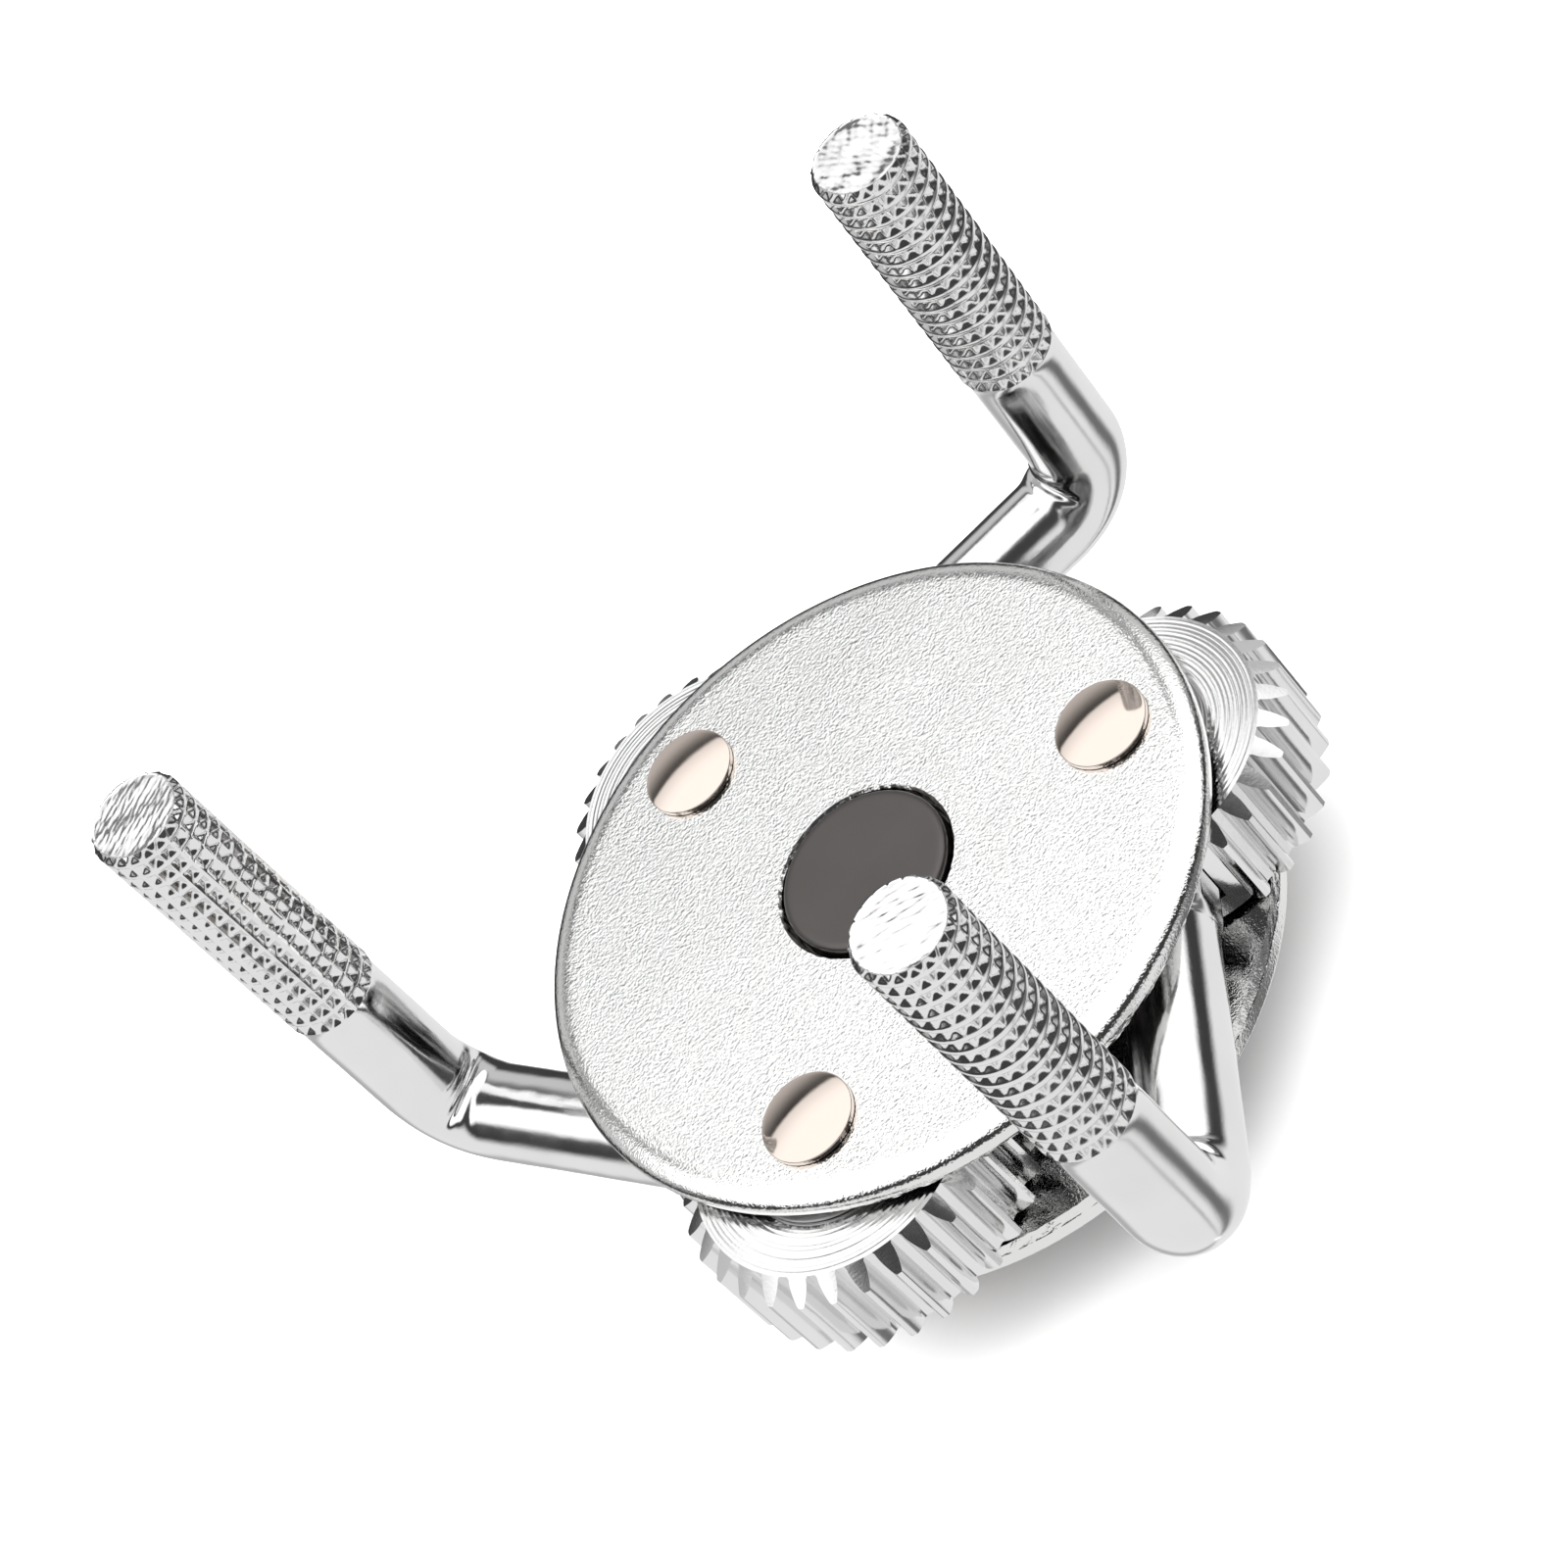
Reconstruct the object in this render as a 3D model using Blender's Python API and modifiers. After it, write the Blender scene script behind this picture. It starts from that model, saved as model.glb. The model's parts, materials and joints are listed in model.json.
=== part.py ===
"""Two-way three-jaw oil filter wrench.

Three bent jaws are fixed to planet gears that turn on riveted pins between two round
plates. A drive gear in the middle, turned through a hex and a square socket behind the
back plate, swings all three jaws together.

The origin is on the tool's axis, on the front end of the drive gear's hub. +Z points
out of the tool towards the jaw tips, and pivot 1 lies on +X.
"""

import math

import bmesh
import bpy
from mathutils import Matrix

MM = 0.001
JAWS = 3

# Gears
MODULE = 1.0 * MM
SUN_TEETH = 21
PLANET_TEETH = 30
PRESSURE_ANGLE = math.radians(20)
BACKLASH = 0.25 * MM
TEETH_LEFT_OUT = 4
PLANET_FACE_SLOPE = 0.75
PLANET_BACK_SLOPE = 0.55

# Plates
PLATE_THICKNESS = 2.65 * MM
PLATE_GAP = 13.0 * MM
FRONT_PLATE_MARGIN = 8.45 * MM
BACK_PLATE_MARGIN = 8.15 * MM
FRONT_EDGE_ROLL = (2.6 * MM, 1.4 * MM)
BACK_EDGE_ROLL = (0.5 * MM, 0.5 * MM)

# Pivots
RIVET_SHANK_RADIUS = 3.0 * MM
RIVET_HEAD_RADIUS = 4.56 * MM
RIVET_HEAD_EDGE = 0.55 * MM
RIVET_HEAD_DOME = 0.48 * MM
SLEEVE_RADIUS = 5.0 * MM
WASHER_RADIUS = 8.5 * MM
WASHER_THICKNESS = 0.5 * MM

# Drive
HUB_RADIUS = 8.5 * MM
HUB_PROUD = 0.5 * MM
HUB_CHAMFER = 0.6 * MM
HEX_ACROSS_FLATS = 21.0 * MM
HEX_HEIGHT = 9.5 * MM
HEX_CORNER_CUT = 0.9 * MM
SOCKET_SIDE = 9.8 * MM
SOCKET_DEPTH = 11.0 * MM
SHANK_ACROSS_FLATS = 10.6 * MM
SHANK_LENGTH = 8.0 * MM

# Jaws
ROD_RADIUS = 4.65 * MM
KNURL_RADIUS = 4.9 * MM
KNURL_LENGTH = 31.5 * MM
JAW_REACH = 48.3 * MM
JAW_TIP_HEIGHT = 42.9 * MM
BEND_RADIUS = 6.8 * MM
TIP_BEVEL = 0.5 * MM
ROOT_CHAMFER = 0.7 * MM
TONGUE_STEP = 0.45 * MM
TONGUE_THICKNESS = 6.4 * MM
TONGUE_OUTSIDE = 2.0 * MM
HUB_WALL = 1.6 * MM
REST_ANGLE = math.radians(-102.4)
# The bars are bent and pressed in by hand, so each differs: in its reach, in its bend, in
# its turn about its own root and in its swing about the pivot.
JAW_EXTRA_REACH = [0.3 * MM, -0.6 * MM, 0.2 * MM]
JAW_BENDS = [math.radians(degrees) for degrees in (91.0, 88.7, 88.7)]
JAW_TURNS = [math.radians(degrees) for degrees in (1.1, 3.0, 1.5)]
JAW_SWINGS = [math.radians(degrees) for degrees in (-0.75, 0.0, 0.7)]

# Clearances
TOUCH = 0.3 * MM
SEAT = 0.1 * MM
RUNNING = 0.1 * MM
HUB_CLEARANCE = 0.4 * MM

# Facets around a full turn
ROUND = 48
SMALL_ROUND = 24
PLATE_ROUND = 72
ROD_ROUND = 24
BEND_STEPS = 8

# Places that follow from the sizes above
SUN_PITCH_RADIUS = MODULE * SUN_TEETH / 2
PLANET_PITCH_RADIUS = MODULE * PLANET_TEETH / 2
PIVOT_CIRCLE = SUN_PITCH_RADIUS + PLANET_PITCH_RADIUS
PLANET_ROOT = PLANET_PITCH_RADIUS - 1.25 * MODULE
PLANET_TIP = PLANET_PITCH_RADIUS + MODULE
PLANET_PITCH_ANGLE = 2 * math.pi / PLANET_TEETH
FRONT_FACE = -HUB_PROUD
GAP_TOP = FRONT_FACE - PLATE_THICKNESS
GAP_BOTTOM = GAP_TOP - PLATE_GAP
BACK_FACE = GAP_BOTTOM - PLATE_THICKNESS
MIDDLE = (GAP_TOP + GAP_BOTTOM) / 2
GEAR_TOP = GAP_TOP - WASHER_THICKNESS - 1.5 * SEAT - RUNNING / 2
GEAR_BOTTOM = GAP_BOTTOM + WASHER_THICKNESS + 1.5 * SEAT + RUNNING / 2
SUN_TOP = GAP_TOP - 4 * SEAT
SUN_BOTTOM = GAP_BOTTOM + 4 * SEAT
HEX_TOP = BACK_FACE - TOUCH
HEX_BOTTOM = HEX_TOP - HEX_HEIGHT
BORE_RADIUS = SLEEVE_RADIUS + RUNNING
TONGUE_START = BORE_RADIUS + HUB_WALL
TONGUE_END = PLANET_TIP + TONGUE_OUTSIDE
TONGUE_WIDTH = 2 * (ROD_RADIUS - TONGUE_STEP)
TIP_Z = FRONT_FACE + JAW_TIP_HEIGHT
# A space of planet 1 lies this far round from the line to the drive gear.
MESH_OFFSET = (math.pi - REST_ANGLE) % PLANET_PITCH_ANGLE
SUN_PHASE = MESH_OFFSET * PLANET_TEETH / SUN_TEETH


def clear_scene():
    """Remove every object and make the collections for the parts and their cutters."""
    for obj in list(bpy.data.objects):
        bpy.data.objects.remove(obj, do_unlink=True)
    made = {}
    for name in ("oil_filter_wrench", "cutters"):
        made[name] = bpy.data.collections.new(name)
        bpy.context.scene.collection.children.link(made[name])
    return made["oil_filter_wrench"], made["cutters"]


parts, cutters = clear_scene()


def metal(name, colour, roughness):
    """A plain metal finish."""
    material = bpy.data.materials.new(name)
    material.use_nodes = True
    shader = material.node_tree.nodes["Principled BSDF"]
    shader.inputs["Base Color"].default_value = (*colour, 1)
    shader.inputs["Metallic"].default_value = 1
    shader.inputs["Roughness"].default_value = roughness
    return material


def add_mesh(name, bm, collection, parent=None, material=None):
    """Turn a bmesh into an object of the given collection, under the given parent."""
    mesh = bpy.data.meshes.new(name)
    bm.to_mesh(mesh)
    bm.free()
    mesh.shade_smooth()
    mesh.set_sharp_from_angle(angle=math.radians(30))
    obj = bpy.data.objects.new(name, mesh)
    collection.objects.link(obj)
    obj.parent = parent
    if material:
        mesh.materials.append(material)
    if collection is cutters:
        obj.hide_render = True
        obj.display_type = "WIRE"
    return obj


def turned(name, profile, steps, collection, parent=None, material=None):
    """Turn a profile of (radius, z) points about Z. It runs down the outer side first.

    A profile that begins and ends on the axis stays open, and any other is a closed ring.
    """
    bm = bmesh.new()
    verts = [bm.verts.new((radius, 0, z)) for radius, z in profile]
    for first, second in zip(verts, verts[1:]):
        bm.edges.new((first, second))
    if profile[0][0] > 0:
        bm.edges.new((verts[-1], verts[0]))
    obj = add_mesh(name, bm, collection, parent, material)
    screw = obj.modifiers.new("turn", "SCREW")
    screw.steps = screw.render_steps = steps
    screw.use_merge_vertices = True
    screw.merge_threshold = 0.00001
    return obj


def ring_profile(outer, inner, top, bottom):
    return [(outer, top), (outer, bottom), (inner, bottom), (inner, top)]


def prism(name, outline, top, bottom, collection, parent=None, material=None):
    """Extrude a flat outline of (x, y) points from bottom to top."""
    bm = bmesh.new()
    face = bm.faces.new([bm.verts.new((x, y, bottom)) for x, y in outline])
    raised = bmesh.ops.extrude_face_region(bm, geom=[face])["geom"]
    moved = [item for item in raised if isinstance(item, bmesh.types.BMVert)]
    bmesh.ops.translate(bm, verts=moved, vec=(0, 0, top - bottom))
    bmesh.ops.recalc_face_normals(bm, faces=bm.faces)
    return add_mesh(name, bm, collection, parent, material)


def block(name, low, high, collection, parent=None):
    """A box between two corners."""
    bm = bmesh.new()
    size = [b - a for a, b in zip(low, high)]
    centre = [(a + b) / 2 for a, b in zip(low, high)]
    scale = Matrix.Diagonal((*size, 1))
    bmesh.ops.create_cube(bm, size=1, matrix=Matrix.Translation(centre) @ scale)
    return add_mesh(name, bm, collection, parent)


def polygon(corners, radius, phase=0.0):
    """Points of a regular polygon with its corners on a circle."""
    turns = [phase + 2 * math.pi * k / corners for k in range(corners)]
    return [(radius * math.cos(a), radius * math.sin(a)) for a in turns]


def hexagon(across_flats):
    """A hexagon with two of its flats facing +X and -X."""
    return polygon(6, across_flats / math.sqrt(3), math.pi / 6)


def boolean(obj, operation, other):
    modifier = obj.modifiers.new(operation.lower(), "BOOLEAN")
    modifier.operation = operation
    modifier.object = other
    modifier.solver = "EXACT"


def involute(angle):
    return math.tan(angle) - angle


def tooth_half_angle(teeth, radius):
    """Half the angle that an involute tooth fills at a radius, thinned by the backlash."""
    pitch = MODULE * teeth / 2
    base = pitch * math.cos(PRESSURE_ANGLE)
    at_pitch = math.pi / (2 * teeth) - BACKLASH / (4 * pitch)
    pressure = math.acos(base / max(radius, base))
    return at_pitch + involute(PRESSURE_ANGLE) - involute(pressure)


def gear_outline(teeth, left_out=0, phase=0.0):
    """Outline of a spur gear with a space at the phase angle.

    The teeth nearest to the phase angle are left out, and the root circle goes on there.
    """
    pitch_angle = 2 * math.pi / teeth
    pitch = MODULE * teeth / 2
    flank = [pitch - 1.25 * MODULE, pitch, pitch + MODULE]
    polar = []
    for k in range(teeth):
        centre = (k + 0.5) * pitch_angle
        root_half = tooth_half_angle(teeth, flank[0])
        if min(k, teeth - 1 - k) < left_out / 2:
            polar += [(flank[0], centre - root_half), (flank[0], centre + root_half)]
            continue
        polar += [(r, centre - tooth_half_angle(teeth, r)) for r in flank]
        polar += [(r, centre + tooth_half_angle(teeth, r)) for r in reversed(flank)]
    return [(r * math.cos(a + phase), r * math.sin(a + phase)) for r, a in polar]


def rolled_edge(outer, face, roll, side, steps=4):
    """Points of a rim edge that the blanking rolled over, from the side to the face."""
    wide, deep = roll
    turns = [math.pi / 2 * k / steps for k in range(steps + 1)]
    return [
        (outer - wide * (1 - math.cos(a)), face - side * deep * (1 - math.sin(a))) for a in turns
    ]


def make_plate(name, outer, hole, top, bottom, roll, rolled_side, material):
    """A blanked disc with a centre hole, rivet holes and one rolled rim edge.

    The rolled side is 1 for the top and -1 for the bottom.
    """
    if rolled_side > 0:
        rim = rolled_edge(outer, top, roll, 1)[::-1] + [(outer, bottom)]
    else:
        rim = [(outer, top)] + rolled_edge(outer, bottom, roll, -1)
    profile = rim + [(hole, bottom), (hole, top)]
    plate = turned(name, profile, PLATE_ROUND, parts, material=material)
    for number in range(JAWS):
        angle = 2 * math.pi * number / JAWS
        outline = polygon(SMALL_ROUND, RIVET_SHANK_RADIUS + TOUCH, math.pi / SMALL_ROUND)
        cutter = prism(f"{name}_rivet_hole_{number + 1}", outline, top + MM, bottom - MM, cutters)
        cutter.location = (PIVOT_CIRCLE * math.cos(angle), PIVOT_CIRCLE * math.sin(angle), 0)
        boolean(plate, "DIFFERENCE", cutter)
    return plate


def make_sun_gear(material):
    """Drive gear with its front hub, and a blind hex bore from behind."""
    outline = gear_outline(SUN_TEETH, phase=SUN_PHASE + math.pi / SUN_TEETH)
    gear = prism("sun_gear", outline, SUN_TOP, SUN_BOTTOM, parts, material=material)
    hub = turned(
        "sun_hub",
        [
            (0, 0),
            (HUB_RADIUS - HUB_CHAMFER, 0),
            (HUB_RADIUS, -HUB_CHAMFER),
            (HUB_RADIUS, MIDDLE),
            (0, MIDDLE),
        ],
        ROUND,
        cutters,
    )
    boolean(gear, "UNION", hub)
    bore = hexagon(SHANK_ACROSS_FLATS + 2 * TOUCH)
    bore_top = SUN_BOTTOM + SHANK_LENGTH + TOUCH
    boolean(gear, "DIFFERENCE", prism("sun_bore", bore, bore_top, SUN_BOTTOM - MM, cutters))
    return gear


def make_drive_hex(material):
    """Hex head with a square socket, a journal in the back plate and a hex shank."""
    corner = HEX_ACROSS_FLATS / math.sqrt(3)
    cut_height = HEX_CORNER_CUT * math.tan(math.radians(30))
    head = prism(
        "drive_hex", hexagon(HEX_ACROSS_FLATS), HEX_TOP, HEX_BOTTOM, parts, material=material
    )
    blank = turned(
        "hex_blank",
        [
            (0, HEX_TOP + MM),
            (corner, HEX_TOP + MM),
            (corner, HEX_BOTTOM + cut_height),
            (corner - HEX_CORNER_CUT - MM, HEX_BOTTOM - MM * math.tan(math.radians(30))),
            (0, HEX_BOTTOM - MM * math.tan(math.radians(30))),
        ],
        ROUND,
        cutters,
    )
    boolean(head, "INTERSECT", blank)
    shoulder = SUN_BOTTOM - SEAT
    journal = prism(
        "hex_journal", polygon(ROUND, HUB_RADIUS), shoulder, HEX_TOP - MM, cutters
    )
    boolean(head, "UNION", journal)
    shank = prism(
        "hex_shank",
        hexagon(SHANK_ACROSS_FLATS),
        SUN_BOTTOM + SHANK_LENGTH,
        shoulder - MM,
        cutters,
    )
    boolean(head, "UNION", shank)
    half = SOCKET_SIDE / 2
    socket = block(
        "drive_socket",
        (-half, -half, HEX_BOTTOM - MM),
        (half, half, HEX_BOTTOM + SOCKET_DEPTH),
        cutters,
    )
    boolean(head, "DIFFERENCE", socket)
    return head


def make_planet_gear(number, axis, material):
    """Planet gear: a turned blank, toothed except at the jaw, slotted for its tongue."""
    outer = PLANET_TIP + TOUCH
    rise = outer - PLANET_ROOT
    blank = turned(
        f"planet_gear_{number}",
        [
            (PLANET_ROOT, GEAR_TOP),
            (outer, GEAR_TOP - rise * PLANET_FACE_SLOPE),
            (outer, GEAR_BOTTOM + rise * PLANET_BACK_SLOPE),
            (PLANET_ROOT, GEAR_BOTTOM),
            (BORE_RADIUS, GEAR_BOTTOM),
            (BORE_RADIUS, GEAR_TOP),
        ],
        2 * PLANET_TEETH,
        parts,
        axis,
        material,
    )
    teeth = prism(
        f"planet_teeth_{number}",
        gear_outline(PLANET_TEETH, TEETH_LEFT_OUT),
        GEAR_TOP + MM,
        GEAR_BOTTOM - MM,
        cutters,
        axis,
    )
    boolean(blank, "INTERSECT", teeth)
    half_width = TONGUE_WIDTH / 2 + TOUCH
    half_height = TONGUE_THICKNESS / 2 + TOUCH
    slot = block(
        f"tongue_slot_{number}",
        (TONGUE_START - TOUCH, -half_width, MIDDLE - half_height),
        (PLANET_TIP + MM, half_width, MIDDLE + half_height),
        cutters,
        axis,
    )
    boolean(blank, "DIFFERENCE", slot)
    return blank


def jaw_path(reach, bend):
    """Centre line of a jaw as (x, z, radius), from its root round the bend to its tip.

    Its two straight legs would meet at the reach, and the second is bent up by the angle.
    """
    root = TONGUE_END - ROOT_CHAMFER
    path = [(root, MIDDLE, ROD_RADIUS - ROOT_CHAMFER), (TONGUE_END, MIDDLE, ROD_RADIUS)]
    set_back = BEND_RADIUS * math.tan(bend / 2)
    for step in range(BEND_STEPS + 1):
        angle = bend * step / BEND_STEPS
        x = reach - set_back + BEND_RADIUS * math.sin(angle)
        path.append((x, MIDDLE + BEND_RADIUS * (1 - math.cos(angle)), ROD_RADIUS))
    leg = (TIP_Z - MIDDLE) / math.sin(bend)
    knurl = leg - KNURL_LENGTH
    for along, radius in (
        (knurl - TOUCH, ROD_RADIUS),
        (knurl, KNURL_RADIUS),
        (leg - TIP_BEVEL, KNURL_RADIUS),
        (leg, KNURL_RADIUS - TIP_BEVEL),
    ):
        path.append((reach + along * math.cos(bend), MIDDLE + along * math.sin(bend), radius))
    return path


def tube_mesh(name, path, sides):
    """A closed mesh of a round rod of changing radius along a path in the XZ plane."""
    curve = bpy.data.curves.new(name, "CURVE")
    curve.dimensions = "3D"
    curve.bevel_depth = ROD_RADIUS
    curve.bevel_resolution = (sides - 4) // 2
    curve.use_fill_caps = True
    spline = curve.splines.new("POLY")
    spline.points.add(len(path) - 1)
    for point, (x, z, radius) in zip(spline.points, path):
        point.co = (x, 0, z, 1)
        point.radius = radius / ROD_RADIUS
    guide = bpy.data.objects.new(name, curve)
    bpy.context.scene.collection.objects.link(guide)
    graph = bpy.context.evaluated_depsgraph_get()
    made = bpy.data.meshes.new_from_object(guide.evaluated_get(graph))
    bpy.data.objects.remove(guide, do_unlink=True)
    bm = bmesh.new()
    bm.from_mesh(made)
    bmesh.ops.remove_doubles(bm, verts=bm.verts, dist=0.00001)
    bmesh.ops.recalc_face_normals(bm, faces=bm.faces)
    return bm


def make_jaw_arm(number, axis, material):
    """Bent round bar with a knurled end, and a flat tongue that is pressed in the gear."""
    index = number - 1
    path = jaw_path(JAW_REACH + JAW_EXTRA_REACH[index], JAW_BENDS[index])
    rod = tube_mesh(f"jaw_rod_{number}", path, ROD_ROUND)
    turn = Matrix.Rotation(JAW_TURNS[index], 3, "X")
    swing = Matrix.Rotation(JAW_SWINGS[index], 3, "Z")
    bmesh.ops.rotate(rod, verts=rod.verts, cent=(0, 0, MIDDLE), matrix=swing @ turn)
    arm = add_mesh(f"jaw_arm_{number}", rod, parts, axis, material)
    tongue = block(
        f"jaw_tongue_{number}",
        (TONGUE_START, -TONGUE_WIDTH / 2, MIDDLE - TONGUE_THICKNESS / 2),
        (TONGUE_END + MM, TONGUE_WIDTH / 2, MIDDLE + TONGUE_THICKNESS / 2),
        cutters,
        axis,
    )
    boolean(arm, "UNION", tongue)
    return arm


def make_rivet(number, axis, material):
    """Rivet with a low domed head in front and a flatter set head behind."""
    seat = FRONT_FACE + SEAT
    edge = seat + RIVET_HEAD_EDGE
    dome_steps = 4
    dome = []
    for step in range(dome_steps + 1):
        share = step / dome_steps
        dome.append((RIVET_HEAD_RADIUS * share, edge + RIVET_HEAD_DOME * (1 - share**2)))
    back_seat = BACK_FACE - SEAT
    back_edge = back_seat - RIVET_HEAD_EDGE
    set_head = RIVET_HEAD_RADIUS - RIVET_HEAD_EDGE
    profile = dome + [
        (RIVET_HEAD_RADIUS, seat),
        (RIVET_SHANK_RADIUS, seat),
        (RIVET_SHANK_RADIUS, back_seat),
        (RIVET_HEAD_RADIUS, back_seat),
        (RIVET_HEAD_RADIUS, back_edge),
        (set_head, back_edge - RIVET_HEAD_EDGE),
        (0, back_edge - RIVET_HEAD_EDGE),
    ]
    return turned(f"pivot_rivet_{number}", profile, SMALL_ROUND, parts, axis, material)


def make_pivot(number, axis, bush_finish, rivet_finish):
    """Everything that a planet gear turns on: sleeve, two thrust washers and a rivet."""
    bore = RIVET_SHANK_RADIUS + TOUCH
    sleeve = ring_profile(SLEEVE_RADIUS, bore, GAP_TOP - SEAT, GAP_BOTTOM + SEAT)
    turned(f"pivot_sleeve_{number}", sleeve, ROUND, parts, axis, bush_finish)
    inner = SLEEVE_RADIUS + TOUCH
    top = GAP_TOP - SEAT
    front = ring_profile(WASHER_RADIUS, inner, top, top - WASHER_THICKNESS)
    turned(f"front_washer_{number}", front, SMALL_ROUND, parts, axis, bush_finish)
    bottom = GAP_BOTTOM + SEAT
    rear = ring_profile(WASHER_RADIUS, inner, bottom + WASHER_THICKNESS, bottom)
    turned(f"rear_washer_{number}", rear, SMALL_ROUND, parts, axis, bush_finish)
    make_rivet(number, axis, rivet_finish)


def add_axis(name, angle, turn):
    """An empty on a pivot's axis, for the pieces that are placed from that axis."""
    empty = bpy.data.objects.new(name, None)
    parts.objects.link(empty)
    empty.location = (PIVOT_CIRCLE * math.cos(angle), PIVOT_CIRCLE * math.sin(angle), 0)
    empty.rotation_euler = (0, 0, turn)
    return empty


plate_finish = metal("plate_nickel", (0.80, 0.80, 0.79), 0.32)
chrome = metal("chrome", (0.78, 0.79, 0.80), 0.14)
rivet_nickel = metal("rivet_nickel", (0.82, 0.77, 0.68), 0.12)
black_oxide = metal("black_oxide", (0.10, 0.095, 0.095), 0.4)
plain_steel = metal("plain_steel", (0.55, 0.55, 0.56), 0.35)

hole = HUB_RADIUS + HUB_CLEARANCE
front = PIVOT_CIRCLE + FRONT_PLATE_MARGIN
make_plate("front_plate", front, hole, FRONT_FACE, GAP_TOP, FRONT_EDGE_ROLL, 1, plate_finish)
back = PIVOT_CIRCLE + BACK_PLATE_MARGIN
make_plate("back_plate", back, hole, GAP_BOTTOM, BACK_FACE, BACK_EDGE_ROLL, -1, plate_finish)
make_sun_gear(black_oxide)
make_drive_hex(black_oxide)
for jaw in range(1, JAWS + 1):
    pivot_angle = 2 * math.pi * (jaw - 1) / JAWS
    make_pivot(jaw, add_axis(f"pivot_{jaw}", pivot_angle, pivot_angle), plain_steel, rivet_nickel)
    jaw_axis = add_axis(f"jaw_{jaw}_axis", pivot_angle, pivot_angle + REST_ANGLE)
    make_planet_gear(jaw, jaw_axis, chrome)
    make_jaw_arm(jaw, jaw_axis, chrome)
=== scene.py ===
"""Three-jaw oil filter wrench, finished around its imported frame.

The tool stands on its drive hex with its jaws up. Lengths are in metres, and the origin is on
the tool's axis at the front end of the drive hub.
"""

import json
import math

import bmesh
import bpy
import numpy as np
from mathutils import Matrix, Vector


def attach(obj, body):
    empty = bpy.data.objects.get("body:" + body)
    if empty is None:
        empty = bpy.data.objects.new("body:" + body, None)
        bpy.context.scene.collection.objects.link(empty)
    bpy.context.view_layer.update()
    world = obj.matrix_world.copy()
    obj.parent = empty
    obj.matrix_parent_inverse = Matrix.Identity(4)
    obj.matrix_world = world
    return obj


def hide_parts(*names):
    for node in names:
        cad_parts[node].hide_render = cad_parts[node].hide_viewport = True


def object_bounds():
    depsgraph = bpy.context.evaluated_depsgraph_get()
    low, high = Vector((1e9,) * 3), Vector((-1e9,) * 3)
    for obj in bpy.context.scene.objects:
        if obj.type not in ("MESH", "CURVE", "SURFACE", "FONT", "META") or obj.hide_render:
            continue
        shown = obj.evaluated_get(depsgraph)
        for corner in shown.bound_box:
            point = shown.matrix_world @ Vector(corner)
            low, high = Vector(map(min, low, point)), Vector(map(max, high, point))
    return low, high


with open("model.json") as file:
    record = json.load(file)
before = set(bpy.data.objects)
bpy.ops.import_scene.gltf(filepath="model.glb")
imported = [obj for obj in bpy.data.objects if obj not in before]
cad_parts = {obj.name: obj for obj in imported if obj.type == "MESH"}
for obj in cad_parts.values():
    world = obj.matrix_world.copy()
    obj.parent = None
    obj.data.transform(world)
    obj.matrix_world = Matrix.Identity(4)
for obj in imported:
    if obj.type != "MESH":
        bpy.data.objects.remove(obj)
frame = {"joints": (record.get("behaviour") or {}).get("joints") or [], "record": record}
cad_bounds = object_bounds()
mm = 0.001


# ---------------------------------------------------------------------------------------
# Studio: a pale floor under the hex, and a wide overhead softbox in a light room. The sides
# of the room hold darker strips, which give the chrome its bands.

view_azimuth = math.radians(-72.19)
view_elevation = math.radians(44.68)
view_roll = math.radians(-44.31)
view_distance = 0.45414
view_aim = np.array([0.0002, 0.0001, 0.01465])
view_lens = 117.63

# The dark strips of the table: bearing from away, half width, softness (radians), darkness
room_strips = [
    (-2.0, 0.3, 0.2, 0.85),
    (-2.75, 0.07, 0.06, 0.4),
    (0.7, 0.3, 0.2, 0.5),
]


def node(tree, kind, inputs=None, **settings):
    """Add a node to a tree, with its settings, and its inputs as values or as sockets to link."""
    made = tree.nodes.new(kind)
    for key, value in settings.items():
        setattr(made, key, value)
    for key, value in (inputs or {}).items():
        if isinstance(value, bpy.types.NodeSocket):
            tree.links.new(value, made.inputs[key])
        else:
            made.inputs[key].default_value = value
    return made


def aim_camera():
    """Put the camera at its azimuth, elevation and distance from the aim, turned by its roll."""
    flat = math.cos(view_elevation)
    back = np.array(
        [flat * math.cos(view_azimuth), flat * math.sin(view_azimuth), math.sin(view_elevation)]
    )
    level = np.array([-math.sin(view_azimuth), math.cos(view_azimuth), 0])
    right = math.cos(view_roll) * level + math.sin(view_roll) * np.cross(back, level)
    up = np.cross(back, right)
    place = np.eye(4)
    place[:3, 0], place[:3, 1], place[:3, 2] = right, up, back
    place[:3, 3] = view_aim + view_distance * back
    camera = bpy.data.objects.new("camera", bpy.data.cameras.new("camera"))
    camera.data.lens = view_lens
    camera.data.clip_start = 0.01
    camera.matrix_world = Matrix(place)
    bpy.context.scene.collection.objects.link(camera)
    bpy.context.scene.camera = camera


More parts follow.
